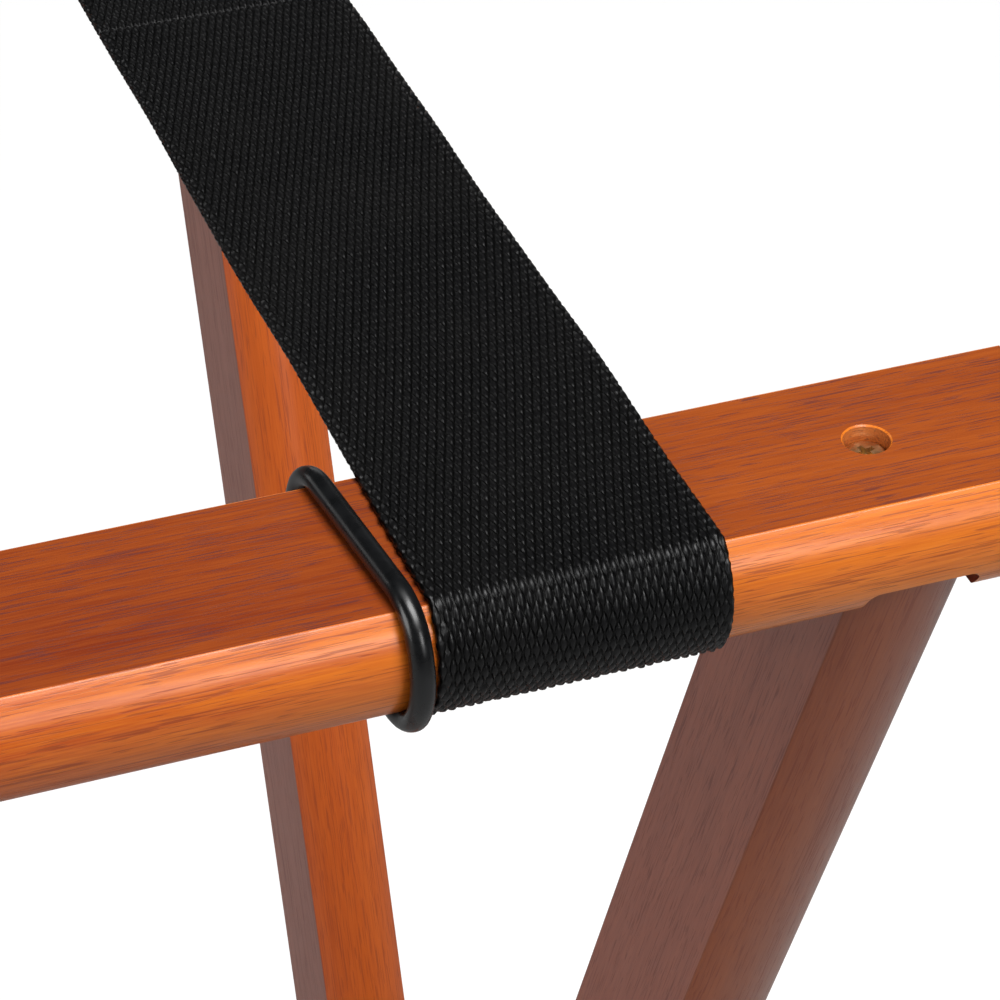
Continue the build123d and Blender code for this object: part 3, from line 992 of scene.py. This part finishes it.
# The gaps between the floats are coloured near black and the floats' crowns a little lighter: painted
# shade in the hollows of the weave.
yarn_tone_with_gap_shade = mix_colour(tree, raised, srgb(1, 1, 1), srgb(8, 8, 9))
yarn_tone_with_gap_shade = mix_colour(tree, faded, yarn_tone_with_gap_shade, srgb(20, 19, 18))
yarn_tone_with_gap_shade = mix_colour(tree, dusty, yarn_tone_with_gap_shade, srgb(120, 118, 112))
sheen = remap(tree, filaments, 0.3, 0.7, 0.28, 0.42)
relief = calculate(tree, "ADD", raised, calculate(tree, "MULTIPLY", filaments, 0.35))
dull = {"Specular IOR Level": 0.24}
give_surface(tree, shader, yarn_tone_with_gap_shade, sheen, relief, 0.8, 0.22 * mm, dull)

for name, outer_sign in leans.items():
    woven = woven_half(outer_sign, weave_seed)
    for place_name in ("left", "middle", "right"):
        strap_x = middle_of(f"strap_{place_name}_{name}_wrap")[0]
        mesh = woven.copy()
        mesh.transform(Matrix.Translation((strap_x, 0, 0)))
        mesh.materials.append(webbing)
        mesh.shade_smooth()
        strap = bpy.data.objects.new(f"webbing_{place_name}_{name}", mesh)
        bpy.context.scene.collection.objects.link(strap)
        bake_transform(strap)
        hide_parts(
            f"strap_{place_name}_{name}_wrap", f"strap_{place_name}_{name}_span"
        )


# Staples. Galvanised wire, two through each end of a strap into the rail's underside. Their
# solids are right, so they only take their finish.
galvanised = plated("galvanised", srgb(196, 198, 200), srgb(168, 170, 172), 0.34)
for name in leans:
    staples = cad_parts[f"{name}_strap_staples"]
    staples.data.materials.clear()
    staples.data.materials.append(galvanised)


# Rings. Black rubber bands of nearly round section, stretched round the rails beside the outer
# straps. They keep the straps from creeping and are the buffers when the rack is folded.
ring_half_width = 1.9 * mm
ring_half_thick = 1.75 * mm
ring_gap = 0.4 * mm
ring_ease = 6.5 * mm
ring_turn_y = swell_shape(rail_flat, rail_thick, rail_bulge, ring_ease)[1]
ring_lies = {
    ("outer", "left"): (-0.05, 0.5 * mm),
    ("outer", "right"): (0.093, 1.1 * mm),
    ("inner", "left"): (0.06, 0.3 * mm),
    ("inner", "right"): (0.03, -0.6 * mm),
}
rubber, tree, shader = new_material("black_rubber")
rubber_place = add(tree, "TexCoord").outputs["Object"]
rubber_cloud = drawn_noise(tree, rubber_place, (260, 260, 260), 4)
rubber_skin = drawn_noise(tree, rubber_place, (4200, 4200, 4200), 2)
rubber_bloom = remap(tree, rubber_cloud, 0.35, 0.7)
rubber_tone = mix_colour(tree, rubber_bloom, srgb(5, 6, 7), srgb(11, 12, 14))
rubber_gloss = remap(tree, rubber_cloud, 0.3, 0.7, 0.24, 0.34)
give_surface(tree, shader, rubber_tone, rubber_gloss, rubber_skin, 0.15, 0.02 * mm)

for name, side in leans.items():
    for hand_name in ("left", "right"):
        ring_x = middle_of(f"{name}_ring_{hand_name}")[0]
        skew, shift = ring_lies[name, hand_name]
        start = Vector((0, ring_turn_y, rail_thick / 2 + ring_gap + ring_half_thick))
        oval = Matrix.Diagonal((ring_half_width, ring_half_thick, 1, 1))
        across_path = Matrix.Translation(start) @ Matrix.Rotation(radians(90), 4, "X") @ oval
        bm = bmesh.new()
        bmesh.ops.create_circle(bm, segments=28, radius=1, matrix=across_path)
        trace_section(
            bm,
            bm.verts[:] + bm.edges[:],
            rail_flat,
            rail_thick,
            rail_bulge,
            ring_ease,
            swell_steps=40,
            arris_steps=16,
        )
        for vert in bm.verts:
            vert.co.x += shift - skew * vert.co.y
        middle = Vector((ring_x, side * rail_middle_y, rail_middle_z))
        bmesh.ops.translate(bm, vec=middle, verts=bm.verts[:])
        ring = show(f"rubber_ring_{name}_{hand_name}", as_mesh(bm), [rubber], 60)
        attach(ring, f"{name}_frame")
        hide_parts(f"{name}_ring_{hand_name}")


# The studio. A pale floor, a broad soft key light above and in front, weaker soft lights from
# the left and above, a low panel in front and two faint ones behind, for the mouldings' sheen.
# The camera stands to the left of square on, above the rail.
floor_half = 6.0
floor_grey = 0.32
floor_glow = 0.7
room_glow = 0.06
bm = bmesh.new()
bmesh.ops.create_grid(bm, x_segments=1, y_segments=1, size=floor_half)
floor_mesh = bpy.data.meshes.new("studio_floor")
bm.to_mesh(floor_mesh)
bm.free()
paper, tree, shader = new_material("pale_paper")
seen = add(tree, "LightPath").outputs["Is Camera Ray"]
floor_sockets = {
    "Base Color": (floor_grey, floor_grey, floor_grey, 1),
    "Roughness": 0.9,
    "Emission Color": (1, 1, 1, 1),
    "Emission Strength": calculate(tree, "MULTIPLY", seen, floor_glow),
}
fill(tree, shader, floor_sockets)
floor_mesh.materials.append(paper)
floor = bpy.data.objects.new("studio_floor", floor_mesh)
bpy.context.scene.collection.objects.link(floor)

studio = bpy.data.worlds.new("studio")
studio.use_nodes = True
tree = studio.node_tree
tree.nodes.clear()
seen = add(tree, "LightPath").outputs["Is Camera Ray"]
backdrop = add(tree, "MapRange", {"Value": seen, "To Min": room_glow, "To Max": 1.0})
sky_sockets = {"Color": (1, 1, 1, 1), "Strength": backdrop.outputs["Result"]}
sky = add(tree, "Background", sky_sockets)
add(tree, "OutputWorld", {"Surface": sky.outputs[0]})
bpy.context.scene.world = studio


def softbox(name, place, aim, size, power):
    """A square diffused lamp."""
    lamp = bpy.data.lights.new(name, "AREA")
    lamp.shape = "SQUARE"
    lamp.size = size
    lamp.energy = power
    box = bpy.data.objects.new(name, lamp)
    box.visible_camera = False
    box.location = place
    box.rotation_euler = (Vector(aim) - Vector(place)).to_track_quat("-Z", "Y").to_euler()
    bpy.context.scene.collection.objects.link(box)


softbox("key", (0.75, -1.55, 4.5), (0.1, -0.1, 0.8), 2.6, 217)
softbox("left_fill", (-3.6, -0.7, 1.8), (0.1, -0.1, 0.7), 2.0, 62)
softbox("top_fill", (0.0, -0.5, 4.8), (0.0, -0.1, 0.7), 2.6, 35)
softbox("front_panel", (0.83, -2.5, 1.75), (0.1, -0.1, 0.8), 0.8, 17)
softbox("back_panel", (1.3, 3.0, 1.1), (0.1, 0.0, 0.8), 1.2, 3.5)
softbox("back_left_panel", (-1.9, 2.5, 1.7), (0.1, 0.0, 0.8), 1.0, 5)

aim_point = Vector((142.7, -174.2, 825.6)) * mm
camera_distance = 557.4 * mm
azimuth = radians(20.98)
elevation = radians(36.13)
roll = radians(0.88)
ahead = Vector(
    (cos(elevation) * sin(azimuth), cos(elevation) * cos(azimuth), -sin(elevation))
)
level_right = Vector((cos(azimuth), -sin(azimuth), 0))
level_up = level_right.cross(ahead)
right = cos(roll) * level_right + sin(roll) * level_up
up = cos(roll) * level_up - sin(roll) * level_right
lens = bpy.data.cameras.new("camera")
lens.sensor_width = 36
lens.lens = 136.7
camera = bpy.data.objects.new("camera", lens)
turn = Matrix((right, up, -ahead)).transposed().to_4x4()
camera.matrix_world = Matrix.Translation(aim_point - ahead * camera_distance) @ turn
bpy.context.scene.collection.objects.link(camera)
bpy.context.scene.camera = camera
bpy.context.scene.view_settings.view_transform = "Standard"
